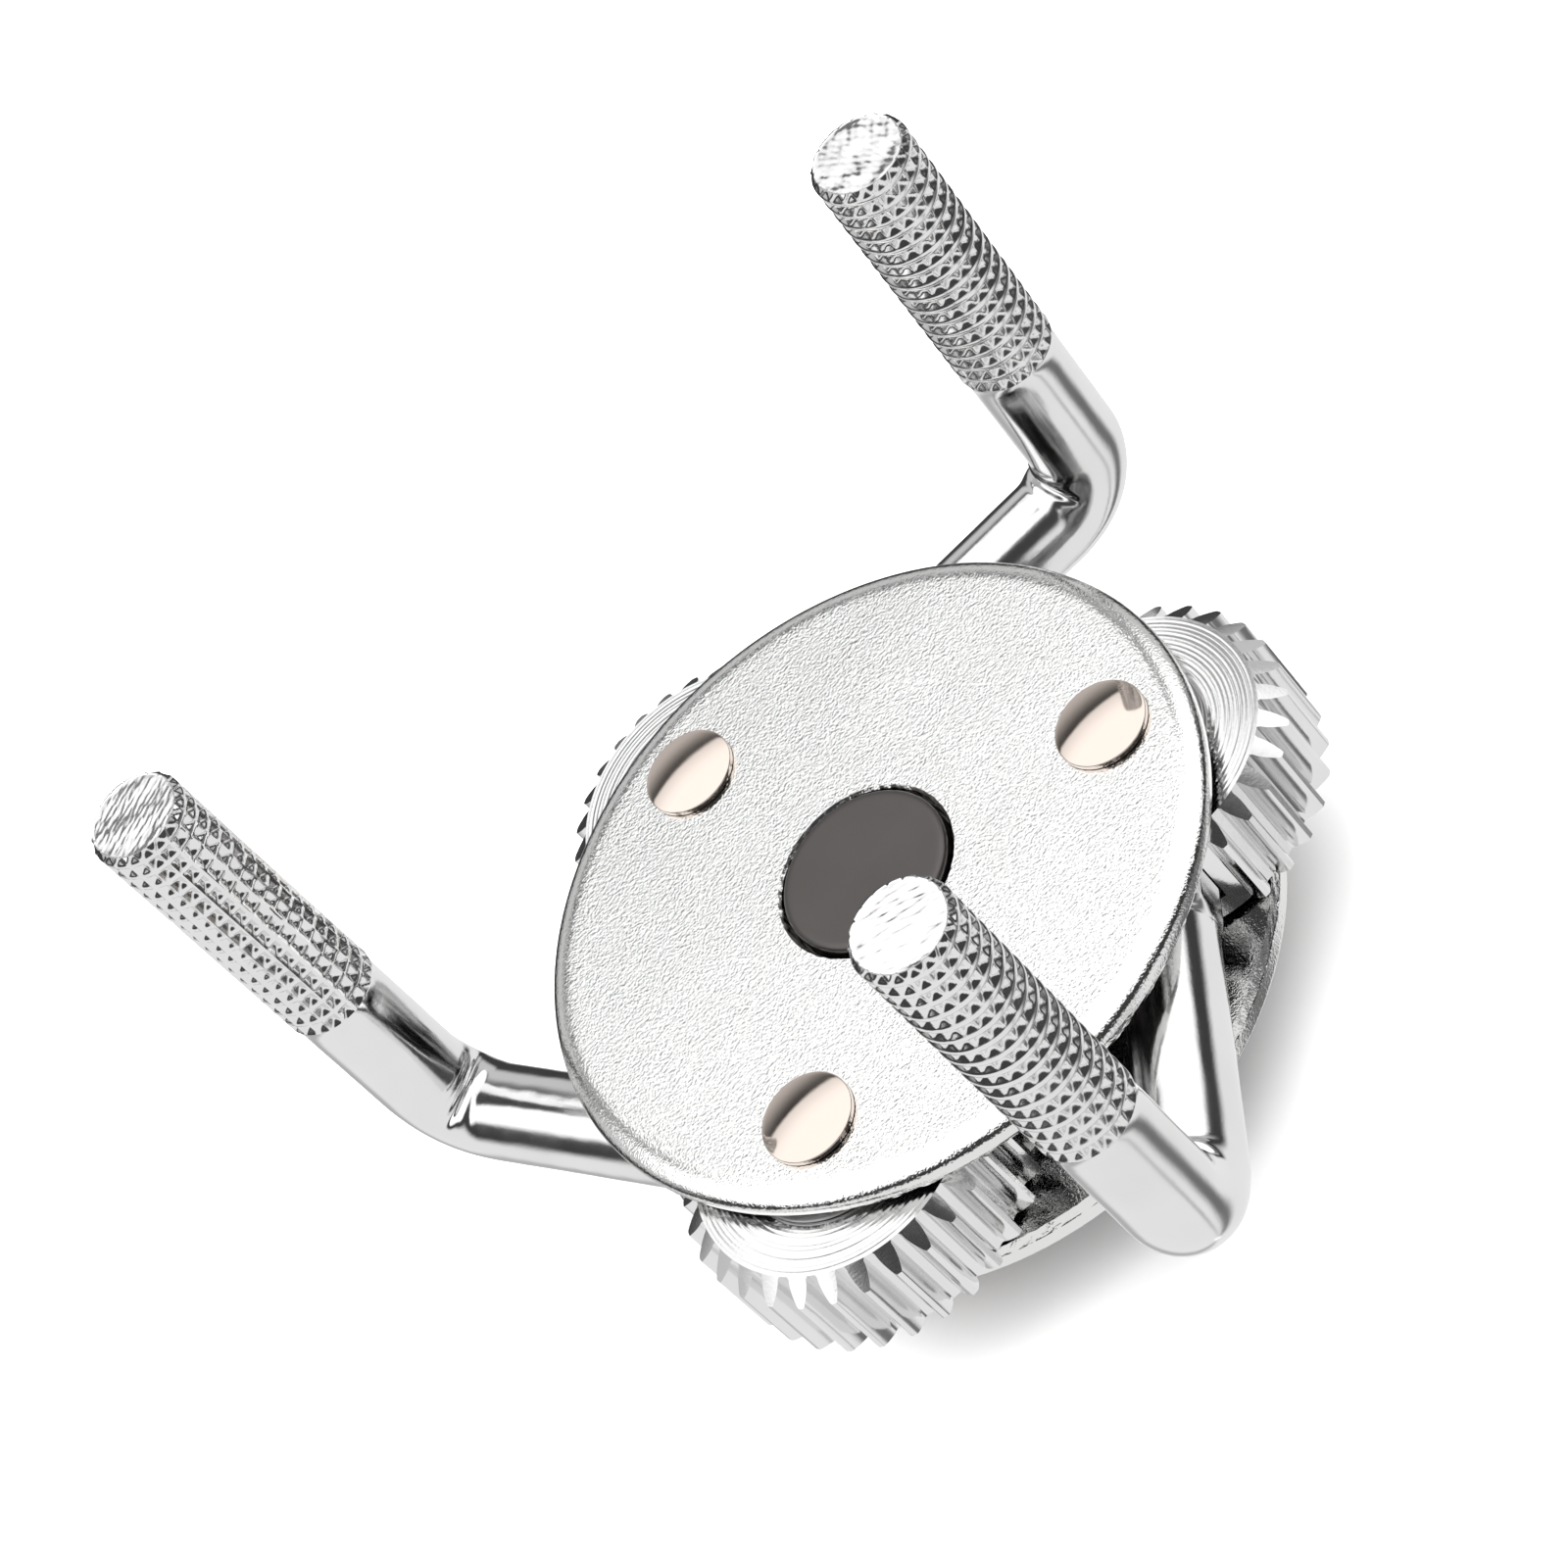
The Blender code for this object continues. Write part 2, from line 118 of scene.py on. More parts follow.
def room_light():
    """World whose brightness depends on direction, as a sum of soft-edged windows.

    Away is level and points from the camera to the tool, and aside is level across it. The
    softbox is a rectangle on a plane overhead, in away / up and aside / up, and brighter in
    its nearer part. The table fills the lower part, with darker strips at some bearings, and
    the far wall is dim.
    """
    world = bpy.data.worlds.new("studio_room")
    world.use_nodes = True
    tree = world.node_tree
    tree.nodes.clear()

    def sum_of(first, second, operation="ADD"):
        return node(tree, "ShaderNodeMath", {0: first, 1: second}, operation=operation).outputs[0]

    def window(value, low, high, soft, bright=1.0):
        """Bright between two values, with a smooth step of the given softness at each."""
        steps = []
        for place, top in ((low, bright), (high, 1.0)):
            step = node(
                tree,
                "ShaderNodeMapRange",
                {"Value": value, "From Min": place - soft, "From Max": place + soft, "To Max": top},
                interpolation_type="SMOOTHSTEP",
            )
            steps.append(step.outputs["Result"])
        return sum_of(steps[0], sum_of(1.0, steps[1], "SUBTRACT"), "MULTIPLY")

    direction = node(tree, "ShaderNodeTexCoord").outputs["Generated"]
    turn = node(
        tree,
        "ShaderNodeVectorRotate",
        {"Vector": direction, "Angle": -view_azimuth - math.pi},
        rotation_type="Z_AXIS",
    )
    away, aside, up = node(tree, "ShaderNodeSeparateXYZ", {0: turn.outputs[0]}).outputs
    height = sum_of(up, 0.02, "MAXIMUM")
    forward = sum_of(away, height, "DIVIDE")
    softbox = sum_of(
        sum_of(window(forward, -0.42, 1.19, 0.05, 0.95), window(forward, -0.4, 0.98, 0.24, 0.42)),
        window(sum_of(aside, height, "DIVIDE"), -2.1, 2.1, 0.7),
        "MULTIPLY",
    )
    bearing = sum_of(aside, away, "ARCTAN2")
    strips = 1.0
    for middle, half, soft, depth in room_strips:
        strip = window(bearing, middle - half, middle + half, soft, depth)
        strips = sum_of(strips, sum_of(1.0, strip, "SUBTRACT"), "MULTIPLY")
    slope = sum_of(sum_of(away, 0.6, "MULTIPLY"), up)
    table = sum_of(window(slope, -3.0, -0.05, 0.14, 0.85), strips, "MULTIPLY")
    far_wall = sum_of(window(away, 0.35, 2.0, 0.2, 0.58), window(up, 0.05, 0.52, 0.12), "MULTIPLY")
    total = sum_of(sum_of(softbox, table), sum_of(far_wall, 0.05))
    lit = node(tree, "ShaderNodeBackground", {"Color": (1, 1, 1, 1), "Strength": total})
    plain = node(tree, "ShaderNodeBackground", {"Color": (0.9, 0.9, 0.9, 1), "Strength": 1.0})
    path = node(tree, "ShaderNodeLightPath")
    mixed = node(
        tree,
        "ShaderNodeMixShader",
        {0: path.outputs["Is Camera Ray"], 1: lit.outputs[0], 2: plain.outputs[0]},
    )
    node(tree, "ShaderNodeOutputWorld", {"Surface": mixed.outputs[0]})
    bpy.context.scene.world = world


def lay_floor():
    """A flat pale floor at the lowest point of the tool, kept out of the reflections."""
    half = 2.0
    mesh = bpy.data.meshes.new("floor")
    height = cad_bounds[0][2] - 0.02 * mm
    corners = [(-half, -half, height), (half, -half, height), (half, half, height), (-half, half, height)]
    mesh.from_pydata(corners, [], [(0, 1, 2, 3)])
    floor = bpy.data.objects.new("floor", mesh)
    bpy.context.scene.collection.objects.link(floor)
    paper = bpy.data.materials.new("white_paper")
    paper.use_nodes = True
    shader = paper.node_tree.nodes["Principled BSDF"]
    shader.inputs["Base Color"].default_value = (0.9, 0.9, 0.9, 1)
    shader.inputs["Roughness"].default_value = 0.8
    mesh.materials.append(paper)
    floor.visible_glossy = False


def hang_softbox():
    """A wide softbox over the tool, for the even light and soft shadow on the floor."""
    lamp = bpy.data.lights.new("softbox", "AREA")
    lamp.shape = "RECTANGLE"
    lamp.size, lamp.size_y = 2.2, 2.0
    lamp.energy = 45
    box = bpy.data.objects.new("softbox", lamp)
    box.location = (-0.1, -0.25, 1.0)
    box.rotation_euler = (math.radians(-14), math.radians(-6), 0)
    box.visible_glossy = False
    box.visible_camera = False
    bpy.context.scene.collection.objects.link(box)


aim_camera()
room_light()
lay_floor()
hang_softbox()
bpy.context.scene.view_settings.view_transform = "Standard"


# ---------------------------------------------------------------------------------------
# Back plate: a disc blanked from steel sheet and nickel plated over a fine blasting. The
# journal of the drive hex turns in its centre hole, and three rivets hold it to its twin.

front_face, gap_top, gap_bottom, back_face = -0.5 * mm, -3.15 * mm, -16.15 * mm, -18.8 * mm
middle = (gap_top + gap_bottom) / 2
plate_hole, rivet_hole = 8.9 * mm, 3.3 * mm
jaws = (1, 2, 3)
pivots = {joint["name"]: np.array(joint["pos_m"][:2]) for joint in frame["joints"]}
pivots = [pivots[f"jaw_{jaw}_swing"] for jaw in jaws]


def around(count):
    """Angles of a full turn in equal steps."""
    return np.linspace(0, 2 * np.pi, count, endpoint=False)


def arc(centre, wide, high, first, last, count=9):
    """Rows (radius, height) of an elliptical arc, by its angle in degrees from outwards."""
    angle = np.radians(np.linspace(first, last, count))
    rows = np.stack([centre[0] + wide * np.cos(angle), centre[1] + high * np.sin(angle)], 1)
    return [tuple(row) for row in rows]


def line(first, last, count):
    """Rows (radius, height) in equal steps between two points, both included."""
    return [tuple(row) for row in np.linspace(first, last, count)]


def ripple(along, across, seed, finest=1.0, waves=24):
    """Smooth random height of about -1 to 1 over two coordinates.

    It is a sum of plane sine waves with seeded directions and phases, and with wavelengths
    from one to four times the finest.
    """
    random = np.random.default_rng(seed)
    total = np.zeros(np.broadcast(along, across).shape)
    for _ in range(waves):
        turn, phase = random.uniform(0, 2 * np.pi, 2)
        rate = 2 * np.pi / (finest * random.uniform(1, 4))
        total += np.sin(rate * (along * math.cos(turn) + across * math.sin(turn)) + phase)
    return total / math.sqrt(waves)


def turned(profile, angles, centre=(0.0, 0.0)):
    """Points of a turned piece: rows of (radius, height) swept round an upright axis."""
    radius, height = np.asarray(profile, float).T
    x = centre[0] + radius[:, None] * np.cos(angles)
    y = centre[1] + radius[:, None] * np.sin(angles)
    return np.stack([x, y, np.broadcast_to(height[:, None], x.shape)], 2)


def surface(name, points, material, ring=False, crease=35):
    """Make an object from a grid of points (row, column, xyz).

    Each row is a closed loop. In a ring the last row joins the first, and otherwise the two
    end rows shrink to a point. Points that coincide are merged, and edges sharper than the
    crease angle stay sharp.
    """
    rows, columns = points.shape[:2]
    spot = np.arange(rows * columns).reshape(rows, columns)
    if ring:
        spot = np.vstack([spot, spot[:1]])
    beside = np.roll(spot, -1, 1)
    quads = np.stack([spot[:-1], beside[:-1], beside[1:], spot[1:]], 2).reshape(-1, 4)
    mesh = bpy.data.meshes.new(name)
    mesh.vertices.add(rows * columns)
    mesh.vertices.foreach_set("co", points.astype(np.float32).ravel())
    mesh.loops.add(quads.size)
    mesh.loops.foreach_set("vertex_index", quads.astype(np.int32).ravel())
    mesh.polygons.add(len(quads))
    mesh.polygons.foreach_set("loop_start", np.arange(0, quads.size, 4, dtype=np.int32))
    mesh.update(calc_edges=True)
    bm = bmesh.new()
    bm.from_mesh(mesh)
    bmesh.ops.remove_doubles(bm, verts=bm.verts, dist=0.0005 * mm)
    bmesh.ops.recalc_face_normals(bm, faces=bm.faces)
    bm.to_mesh(mesh)
    bm.free()
    mesh.shade_smooth()
    mesh.set_sharp_from_angle(angle=math.radians(crease))
    mesh.materials.append(material)
    piece = bpy.data.objects.new(name, mesh)
    bpy.context.scene.collection.objects.link(piece)
    return piece


def fit(piece, body):
    """Fix a piece to its body in place of its node, and hide the node."""
    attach(piece, body)
    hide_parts(piece.name.removesuffix("_finished"))


def cut(piece, cutter):
    """Take the cutter's shape out of a piece, and remove the cutter."""
    modifier = piece.modifiers.new("cut", "BOOLEAN")
    modifier.object = cutter
    modifier.solver = "EXACT"
    graph = bpy.context.evaluated_depsgraph_get()
    mesh = bpy.data.meshes.new_from_object(piece.evaluated_get(graph))
    piece.modifiers.clear()
    piece.data = mesh
    mesh.set_sharp_from_angle(angle=math.radians(35))
    bpy.data.objects.remove(cutter)


def grain_group():
    """Group: the height of two sizes of noise mixed by a share, and a mask of soft patches."""
    group = bpy.data.node_groups.new("fine_grain", "ShaderNodeTree")
    for title in ("Coarse", "Fine", "Share"):
        group.interface.new_socket(title, in_out="INPUT", socket_type="NodeSocketFloat")
    for title in ("Height", "Patches"):
        group.interface.new_socket(title, in_out="OUTPUT", socket_type="NodeSocketFloat")
    given = node(group, "NodeGroupInput").outputs
    place = node(group, "ShaderNodeTexCoord").outputs["Object"]
    coarse = node(group, "ShaderNodeTexNoise", {"Vector": place, "Scale": given["Coarse"], "Detail": 1.0})
    fine = node(group, "ShaderNodeTexNoise", {"Vector": place, "Scale": given["Fine"], "Detail": 1.0})
    height = node(
        group, "ShaderNodeMix", {0: given["Share"], 2: coarse.outputs[0], 3: fine.outputs[0]}
    )
    patches = node(group, "ShaderNodeTexNoise", {"Vector": place, "Scale": 110.0, "Detail": 3.0})
    node(group, "NodeGroupOutput", {0: height.outputs[0], 1: patches.outputs[0]})
    return group


fine_grain = grain_group()


def metal(name, colour, dark, roughness, grain, depth):
    """A metal whose colour drifts from one tone to a darker one in soft patches.

    The roughness is a (lowest, highest) pair over the same patches. The grain is (coarse
    size, fine size, share of the fine one) and its depth is in metres, as are the sizes.
    """
    material = bpy.data.materials.new(name)
    material.use_nodes = True
    tree = material.node_tree
    shader = tree.nodes["Principled BSDF"]
    shader.inputs["Metallic"].default_value = 1.0
    texture = node(tree, "ShaderNodeGroup", node_tree=fine_grain)
    for key, value in zip(("Coarse", "Fine", "Share"), (1 / grain[0], 1 / grain[1], grain[2])):
        texture.inputs[key].default_value = value
    tint = node(
        tree,
        "ShaderNodeMix",
        {"Factor": texture.outputs["Patches"], 6: (*colour, 1), 7: (*dark, 1)},
        data_type="RGBA",
    )
    rough = node(
        tree,
        "ShaderNodeMapRange",
        {"Value": texture.outputs["Patches"], "From Min": 0.3, "From Max": 0.7},
    )
    rough.inputs["To Min"].default_value, rough.inputs["To Max"].default_value = roughness
    bump = node(tree, "ShaderNodeBump", {"Height": texture.outputs["Height"], "Distance": depth})
    tree.links.new(tint.outputs[2], shader.inputs["Base Color"])
    tree.links.new(rough.outputs[0], shader.inputs["Roughness"])
    tree.links.new(bump.outputs[0], shader.inputs["Normal"])
    return material


plate_finish = metal(
    "plate_nickel", (0.85, 0.85, 0.84), (0.8, 0.8, 0.79), (0.04, 0.08),
    (0.4 * mm, 0.2 * mm, 0.45), 0.045 * mm,
)


def plate(name, outer, top, bottom, roll, rolled_up):
    """A blanked disc: face, rolled edge, side wall, face and centre hole as one turned ring.

    The side wall is burnished next to the roll. The rest is torn and tapers in towards the
    far face, and there and on the hole's rim the radius wanders by the ripple. The faces
    are dished by a few hundredths of a millimetre, and the rivet holes are drilled last.
    """
    wide, deep = roll
    tilt = 1 if rolled_up else -1
    face, far = (top, bottom) if rolled_up else (bottom, top)
    land = 0.25 * mm
    rows = line((plate_hole + land, face), (outer - wide, face), 26)
    rows += arc((outer - wide, face - tilt * deep), wide, tilt * deep, 90, 0, 14)[1:]
    rows += line((outer, face - tilt * deep), (outer, far + tilt * 0.85 * mm), 6)[1:]
    rows += line((outer - 0.06 * mm, far + tilt * 0.8 * mm), (outer - 0.5 * mm, far), 8)
    rows += line((outer - 1.2 * mm, far), (plate_hole + land, far), 12)
    rows += line((plate_hole, far + tilt * land), (plate_hole, face - tilt * land), 10)
    angles = around(480)
    points = turned(rows, angles)
    radius = np.hypot(points[..., 0], points[..., 1])
    wander = ripple(radius[:, :1] * angles / mm, points[..., 2] / mm, 11, 0.45)
    torn = np.where(radius < plate_hole + 1.5 * land, 0.03 * mm, 0.0)
    torn = np.where((radius > outer - 0.55 * mm) & (radius < outer - 0.04 * mm), 0.05 * mm, torn)
    torn = np.where(np.abs(points[..., 2] - far) < 0.9 * mm, torn, torn * (radius < 2 * plate_hole))
    points[..., :2] *= (1 + torn * wander / radius)[..., None]
    dish = 0.012 * mm * ripple(points[..., 0] / mm, points[..., 1] / mm, 5, 12.0)
    points[..., 2] += dish * np.clip((outer - radius) / (4 * mm), 0, 1)
    piece = surface(name, points, plate_finish, ring=True)
    for centre in pivots:
        rod = [(0, bottom - mm), (rivet_hole, bottom - mm), (rivet_hole, top + mm), (0, top + mm)]
        cut(piece, surface("rivet_hole", turned(rod, around(48), centre), plate_finish))
    return piece


back_plate = plate("back_plate_finished", 33.65 * mm, gap_bottom, back_face, (0.5 * mm, 0.5 * mm), False)
fit(back_plate, "frame")


# ---------------------------------------------------------------------------------------
# Drive hex: turned from hexagon bar and blacked. The hex takes a spanner and its square
# socket a ratchet, its journal turns in the back plate and its shank fills the drive gear.

hex_top, hex_bottom = back_face - 0.3 * mm, back_face - 9.8 * mm
sun_top, sun_bottom = gap_top - 0.4 * mm, gap_bottom + 0.4 * mm
hex_across, hex_corner = 21 * mm, 12.05 * mm
socket_across, socket_depth = 9.8 * mm, 11 * mm
shank_across, shank_corner, shank_length = 10.6 * mm, 6.05 * mm, 8 * mm
journal = 8.5 * mm

black_oxide = metal(
    "black_oxide", (0.13, 0.12, 0.117), (0.118, 0.108, 0.105), (0.3, 0.4),
    (1.2 * mm, 0.3 * mm, 0.4), 0.003 * mm,
)


def flat_sided(sides, across, angles):
    """Radius of a regular outline with a flat facing +X: half across over the cosine of the
    angle from the middle of the nearest flat."""
    turn = np.pi / sides
    return across / 2 / np.cos((angles + turn) % (2 * turn) - turn)


def looped(loops, angles):
    """Points of loops round the tool's axis, each a radius at every angle and its height."""
    radii = np.array([radius + 0 * angles for radius, height in loops])
    heights = np.array([height + 0 * angles for radius, height in loops])
    return np.stack([radii * np.cos(angles), radii * np.sin(angles), heights], 2)


def drive_hex_points():
    """Loops of the drive hex, from the socket's floor round the hex to the end of the shank.

    The end of the hex is cut by a 30 degree cone, so each corner starts higher than the flats.
    """
    angles = around(192)
    square = flat_sided(4, socket_across, angles)
    hexagon = np.minimum(flat_sided(6, hex_across, angles), hex_corner)
    shank = np.minimum(flat_sided(6, shank_across, angles), shank_corner)
    cone = np.minimum(hexagon, 11.2 * mm)
    rise = (hexagon - cone) * math.tan(math.radians(30))
    floor = hex_bottom + socket_depth
    shoulder = sun_bottom - 0.1 * mm
    shank_end = sun_bottom + shank_length
    loops = [
        (0, floor),
        (square, floor),
        (square, hex_bottom + 0.7 * mm),
        (square * 1.07, hex_bottom),
        (cone, hex_bottom),
        (hexagon, hex_bottom + 0.02 * mm + rise),
        (hexagon, hex_top - 0.15 * mm),
        (hexagon - 0.15 * mm, hex_top),
        (journal, hex_top),
        (journal, shoulder - 0.2 * mm),
        (journal - 0.2 * mm, shoulder),
        (shank, shoulder),
        (shank, shank_end - 0.4 * mm),
        (shank - 0.4 * mm, shank_end),
        (0, shank_end),
    ]
    return looped(loops, angles)


fit(surface("drive_hex_finished", drive_hex_points(), black_oxide), "drive")


# ---------------------------------------------------------------------------------------
# Drive gear: cut steel, blacked, with a turned hub that shows in the front plate's hole. Its
# hex bore is pressed on the shank of the drive hex.

module = 1.0 * mm
backlash = 0.25 * mm
pressure = math.radians(20)
rest_angle = math.radians(-102.4)
sun_teeth, planet_teeth = 21, 30
mesh_offset = (math.pi - rest_angle) % (2 * math.pi / planet_teeth)
sun_phase = mesh_offset * planet_teeth / sun_teeth + math.pi / sun_teeth


def outline(teeth, phase, left_out=0):
    """Angles and radii of an involute gear's outline, with a space at the phase angle.

    A tooth's half angle at a radius is its half angle on the pitch circle plus the
    difference of the involute functions, inv(a) = tan(a) - a, there and here. The teeth
    nearest to the phase angle can be left out.
    """
    pitch = module * teeth / 2
    base = pitch * math.cos(pressure)
    radius = pitch + module * np.array([-1.25, -1.05, -0.7, -0.3, 0.1, 0.5, 0.85, 1.0])
    lean = np.arccos(base / np.maximum(radius, base))
    half = np.pi / (2 * teeth) - backlash / (4 * pitch) + math.tan(pressure) - pressure
    half = half - (np.tan(lean) - lean)
    half[0] += 0.17 * mm / pitch
    half[-1] *= 0.8
    side = np.concatenate([-half, [0], half[::-1]])
    radius = np.concatenate([radius, radius[-1:], radius[::-1]])
    count = np.arange(teeth)
    angle = (count[:, None] + 0.5) * 2 * np.pi / teeth + side
    there = np.minimum(count, teeth - 1 - count) >= left_out / 2
    radius = np.where(there[:, None], radius, radius[0])
    return angle.ravel() + phase, radius.ravel()


def gear(edge, upper, lower, top_slope, bottom_slope):
    """Points of a gear: its upper rows, its toothed rim and its lower rows.

    The rim's end faces are cones that fall away from the root circle by their slopes. Each of
    their loops has the smaller of its own radius and the outline's radius, so that the loops
    fold together in the spaces.
    """
    angles, limit = edge
    root = limit.min()
    top, bottom = upper[-1][1], lower[0][1]
    steps = [np.minimum(step, limit) for step in np.linspace(root, limit.max(), 9)[1:]]
    high = top - top_slope * (limit - root)
    low = bottom + bottom_slope * (limit - root)
    loops = upper + [(radius, top - top_slope * (radius - root)) for radius in steps]
    loops += [(limit, high + share * (low - high)) for share in np.linspace(0, 1, 6)[1:-1]]
    loops += [(radius, bottom + bottom_slope * (radius - root)) for radius in steps[::-1]]
    return looped(loops + lower, angles)


hub = 8.5 * mm
sun_root = (sun_teeth / 2 - 1.25) * module
upper = [(0, 0)] + line((0.3 * mm, 0), (hub - 0.65 * mm, 0), 20)
upper += arc((hub - 0.65 * mm, -0.65 * mm), 0.65 * mm, 0.65 * mm, 90, 0, 7)[1:]
upper += line((hub, -0.8 * mm), (hub, sun_top), 6) + [(sun_root, sun_top)]
lower = [(sun_root, sun_bottom), (0, sun_bottom)]
sun = surface(
    "sun_gear_finished", gear(outline(sun_teeth, sun_phase), upper, lower, 0.25, 0.25), black_oxide
)
bore = flat_sided(6, shank_across + 0.6 * mm, around(48))
bore_start, bore_end = sun_bottom - mm, sun_bottom + shank_length + 0.3 * mm
loops = [(0, bore_start), (bore, bore_start), (bore, bore_end), (0, bore_end)]
cut(sun, surface("hex_bore", looped(loops, around(48)), black_oxide))
fit(sun, "drive")


# ---------------------------------------------------------------------------------------
# Pivots: on each rivet a turned steel sleeve keeps the plates apart and carries a planet
# gear, which runs between two thin thrust washers. All of it is plain oiled steel.

plain_steel = metal(
    "plain_steel", (0.46, 0.46, 0.47), (0.3, 0.29, 0.28), (0.28, 0.45),
    (0.8 * mm, 0.25 * mm, 0.5), 0.008 * mm,
)


def tube(outer, inner, top, bottom, bevel):
    """Rows of a tube or washer, with both outer edges bevelled."""
    return [
        (inner, top),
        (outer - bevel, top),
        (outer, top - bevel),
        (outer, bottom + bevel),
        (outer - bevel, bottom),
        (inner, bottom),
    ]


# Outer and inner radius, top, bottom and bevel in millimetres
pivot_sizes = {
    "pivot_sleeve": (5.0, 3.3, -3.25, -16.05, 0.2),
    "front_washer": (8.5, 5.3, -3.25, -3.75, 0.08),
    "rear_washer": (8.5, 5.3, -15.55, -16.05, 0.08),
}
for jaw, centre in zip(jaws, pivots):
    for title, size in pivot_sizes.items():
        rows = tube(*(value * mm for value in size))
        points = turned(rows, around(96), centre)
        fit(surface(f"{title}_{jaw}_finished", points, plain_steel, ring=True), "frame")


# ---------------------------------------------------------------------------------------
# Planet gears: turned blanks with cut teeth, bright chromed. The front face keeps the turning
# marks, the tooth ends are bevelled, and a slot takes the tongue of the jaw arm.

chrome = metal(
    "chrome", (0.86, 0.86, 0.865), (0.8, 0.795, 0.79), (0.09, 0.19),
    (0.9 * mm, 0.25 * mm, 0.4), 0.009 * mm,
)
gear_top, gear_bottom = gap_top - 0.7 * mm, gap_bottom + 0.7 * mm
slot_length, slot_width, slot_height, slot_place = 14 * mm, 9 * mm, 7 * mm, 13.4 * mm
planet_root = (planet_teeth / 2 - 1.25) * module


def turning_marks(inner, outer, height, pitch, depth):
    """Rows across a turned face: parabolic grooves of uneven depth, with sharp crests."""
    radius = np.linspace(inner, outer, int(round((outer - inner) / pitch * 6)) + 1)
    number = (radius - inner) / pitch
    along = number % 1
    uneven = depth * (0.6 + 0.4 * np.sin(2.4 * np.floor(number) + 1))
    return [tuple(row) for row in np.stack([radius, height - uneven * 4 * along * (1 - along)], 1)]


upper = [(5.1 * mm, gear_top - 0.3 * mm), (5.4 * mm, gear_top)]
upper += turning_marks(8.3 * mm, planet_root - 0.2 * mm, gear_top, 0.42 * mm, 0.022 * mm)
upper += [(planet_root, gear_top)]
lower = line((planet_root, gear_bottom), (5.4 * mm, gear_bottom), 8)
lower += [(5.1 * mm, gear_bottom + 0.3 * mm)]
blank = gear(outline(planet_teeth, 0.0, left_out=4), upper, lower, 0.75, 0.55)
planet = surface("planet_blank", blank, chrome, ring=True)
slot_box = bmesh.new()
bmesh.ops.create_cube(slot_box, size=1)
bmesh.ops.scale(slot_box, vec=(slot_length, slot_width, slot_height), verts=slot_box.verts)
bmesh.ops.translate(slot_box, vec=(slot_place, 0, middle), verts=slot_box.verts)
slot_mesh = bpy.data.meshes.new("tongue_slot")
slot_box.to_mesh(slot_mesh)
slot_box.free()
tongue_slot = bpy.data.objects.new("tongue_slot", slot_mesh)
bpy.context.scene.collection.objects.link(tongue_slot)
cut(planet, tongue_slot)
for jaw, centre in zip(jaws, pivots):
    turn = 2 * math.pi * (jaw - 1) / 3 + rest_angle
    mesh = planet.data.copy()
    mesh.transform(Matrix.Translation((*centre, 0)) @ Matrix.Rotation(turn, 4, "Z"))
    piece = bpy.data.objects.new(f"planet_gear_{jaw}_finished", mesh)
    bpy.context.scene.collection.objects.link(piece)
    fit(piece, f"jaw_{jaw}")
bpy.data.objects.remove(planet)


# ---------------------------------------------------------------------------------------
# Jaw arms: chromed round bar, bent cold by hand and coarsely knurled on the part that grips
# the can. The root is milled to a flat tongue that is pressed in the planet gear's slot.

rod_radius = 4.65 * mm
bend_radius = 6.8 * mm
knurl_radius = 4.9 * mm
knurl_length = 30.6 * mm
tongue_start, tongue_end, tongue_height, tongue_width = 6.7 * mm, 16.2 * mm, 6.8 * mm, 8.8 * mm


def swell(along, first, last):
    """Smooth step from 0 to 1 between two places."""
    share = np.clip((along - first) / (last - first), 0, 1)
    return share * share * (3 - 2 * share)


def knurl(along, turn, seed, ring_low, rib_low):
    """Depth of the knurl below its crests.

    Rings at a fixed pitch and twenty ribs are ridges of triangular section with narrow
    lands, and the higher of the two shows. The depth is the distance past the land times
    the flank's slope. Either kind can lie lower than the other, by its own low.
    """
    ring_pitch, rib_pitch = 1.853 * mm, 1.53 * mm
    wander = 0.035 * ripple(along / mm, turn * 5, seed, 3.0)
    ring = ring_pitch * (0.5 - np.abs((along / ring_pitch + wander) % 1 - 0.5))
    rib = rib_pitch * (0.5 - np.abs((turn * 20 / (2 * np.pi) + wander) % 1 - 0.5))
    ring = ring_low + 0.95 * np.maximum(ring - 0.17 * mm, 0)
    rib = rib_low + 0.95 * np.maximum(rib - 0.06 * mm, 0)
    return np.minimum(np.minimum(ring, rib), 0.6 * mm)


